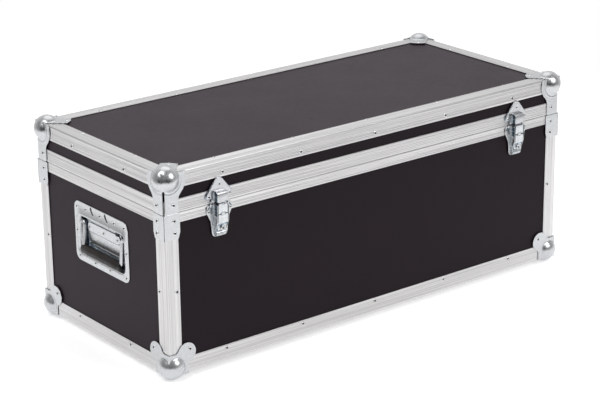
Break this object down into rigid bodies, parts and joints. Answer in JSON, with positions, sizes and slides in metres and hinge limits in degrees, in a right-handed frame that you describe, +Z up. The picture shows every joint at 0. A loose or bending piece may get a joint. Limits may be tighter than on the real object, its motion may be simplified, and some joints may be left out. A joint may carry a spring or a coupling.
{
  "type": "equipment case",
  "caption": "Oblong hard case of coated plywood in a metal edge frame, with ball corners, butterfly latches, recessed end handles and a lid hinged at the back.",
  "frame": {"origin": "middle of the footprint, on the surface that the four bottom ball corners stand on", "axes": "+Z up, X along the length, -Y towards the latches, +Y towards the hinges"},
  "size_m": [1.024, 0.468, 0.4217],
  "materials": {
    "coated_plywood": "smooth phenolic film, satin",
    "edge_aluminium": "ribbed extrusion, matt anodised",
    "zinc_steel": "pressed and zinc plated",
    "grip_rubber": "moulded, matt"
  },
  "bodies": {
    "base": {"bottom_panel": "coated_plywood", "front_panel": "coated_plywood", "back_panel": "coated_plywood", "left_end_panel": "coated_plywood", "right_end_panel": "coated_plywood", "bottom_angle_front": "edge_aluminium", "bottom_angle_back": "edge_aluminium", "bottom_angle_left": "edge_aluminium", "bottom_angle_right": "edge_aluminium", "corner_post_front_left": "edge_aluminium", "corner_post_front_right": "edge_aluminium", "corner_post_back_left": "edge_aluminium", "corner_post_back_right": "edge_aluminium", "base_closing_frame": "edge_aluminium", "base_ball_corner_front_left": "zinc_steel", "base_ball_corner_front_right": "zinc_steel", "base_ball_corner_back_left": "zinc_steel", "base_ball_corner_back_right": "zinc_steel", "corner_brace_front_left": "zinc_steel", "corner_brace_front_right": "zinc_steel", "corner_brace_back_left": "zinc_steel", "corner_brace_back_right": "zinc_steel", "latch_housing_left": "zinc_steel", "latch_housing_right": "zinc_steel", "handle_dish_left": "zinc_steel", "handle_dish_right": "zinc_steel", "hinge_base_leaf_left": "zinc_steel", "hinge_base_leaf_right": "zinc_steel", "hinge_pin_left": "zinc_steel", "hinge_pin_right": "zinc_steel"},
    "lid": {"lid_top_panel": "coated_plywood", "lid_front_panel": "coated_plywood", "lid_back_panel": "coated_plywood", "lid_left_panel": "coated_plywood", "lid_right_panel": "coated_plywood", "lid_angle_front": "edge_aluminium", "lid_angle_back": "edge_aluminium", "lid_angle_left": "edge_aluminium", "lid_angle_right": "edge_aluminium", "lid_closing_frame": "edge_aluminium", "lid_ball_corner_front_left": "zinc_steel", "lid_ball_corner_front_right": "zinc_steel", "lid_ball_corner_back_left": "zinc_steel", "lid_ball_corner_back_right": "zinc_steel", "latch_strike_left": "zinc_steel", "latch_strike_right": "zinc_steel", "hinge_lid_leaf_left": "zinc_steel", "hinge_lid_leaf_right": "zinc_steel"},
    "key_left": {"latch_key_left": "zinc_steel"},
    "hook_left": {"latch_hook_left": "zinc_steel"},
    "wing_upper_left": {"latch_wing_upper_left": "zinc_steel"},
    "wing_lower_left": {"latch_wing_lower_left": "zinc_steel"},
    "key_right": {"latch_key_right": "zinc_steel"},
    "hook_right": {"latch_hook_right": "zinc_steel"},
    "wing_upper_right": {"latch_wing_upper_right": "zinc_steel"},
    "wing_lower_right": {"latch_wing_lower_right": "zinc_steel"},
    "bail_left": {"handle_bail_left": "zinc_steel", "handle_grip_left": "grip_rubber"},
    "bail_right": {"handle_bail_right": "zinc_steel", "handle_grip_right": "grip_rubber"}
  },
  "joints": [
    {"name": "lid_hinge", "type": "hinge", "parent": "base", "child": "lid", "pos_m": [0, 0.229, 0.3321], "axis": [-1, 0, 0], "range_deg": [0, 95]},
    {"name": "hook_left_lift", "type": "slide", "parent": "base", "child": "hook_left", "axis": [0, 0, 1], "range_m": [0, 0.008]},
    {"name": "key_left_turn", "type": "hinge", "parent": "base", "child": "key_left", "pos_m": [-0.378, -0.219, 0.3127], "axis": [0, 1, 0], "range_deg": [0, 180]},
    {"name": "wing_upper_left_fold", "type": "hinge", "parent": "key_left", "child": "wing_upper_left", "pos_m": [-0.378, -0.2324, 0.3143], "axis": [1, 0, 0], "range_deg": [0, 90]},
    {"name": "wing_lower_left_fold", "type": "hinge", "parent": "key_left", "child": "wing_lower_left", "pos_m": [-0.378, -0.2324, 0.3111], "axis": [-1, 0, 0], "range_deg": [0, 90]},
    {"name": "hook_right_lift", "type": "slide", "parent": "base", "child": "hook_right", "axis": [0, 0, 1], "range_m": [0, 0.008]},
    {"name": "key_right_turn", "type": "hinge", "parent": "base", "child": "key_right", "pos_m": [0.378, -0.219, 0.3127], "axis": [0, 1, 0], "range_deg": [0, 180]},
    {"name": "wing_upper_right_fold", "type": "hinge", "parent": "key_right", "child": "wing_upper_right", "pos_m": [0.378, -0.2324, 0.3143], "axis": [1, 0, 0], "range_deg": [0, 90]},
    {"name": "wing_lower_right_fold", "type": "hinge", "parent": "key_right", "child": "wing_lower_right", "pos_m": [0.378, -0.2324, 0.3111], "axis": [-1, 0, 0], "range_deg": [0, 90]},
    {"name": "bail_left_swing", "type": "hinge", "parent": "base", "child": "bail_left", "pos_m": [-0.4945, 0, 0.2397], "axis": [0, 1, 0], "range_deg": [0, 90], "stiffness_Nm_per_rad": 0.12, "springref_deg": -17.19},
    {"name": "bail_right_swing", "type": "hinge", "parent": "base", "child": "bail_right", "pos_m": [0.4945, 0, 0.2397], "axis": [0, -1, 0], "range_deg": [0, 90], "stiffness_Nm_per_rad": 0.12, "springref_deg": -17.19}
  ],
  "couplings": [
    {"joint": "key_left_turn", "follows": "hook_left_lift", "rad_per_m": 392.69},
    {"joint": "wing_lower_left_fold", "follows": "wing_upper_left_fold", "ratio": 1},
    {"joint": "key_right_turn", "follows": "hook_right_lift", "rad_per_m": 392.69},
    {"joint": "wing_lower_right_fold", "follows": "wing_upper_right_fold", "ratio": 1}
  ]
}
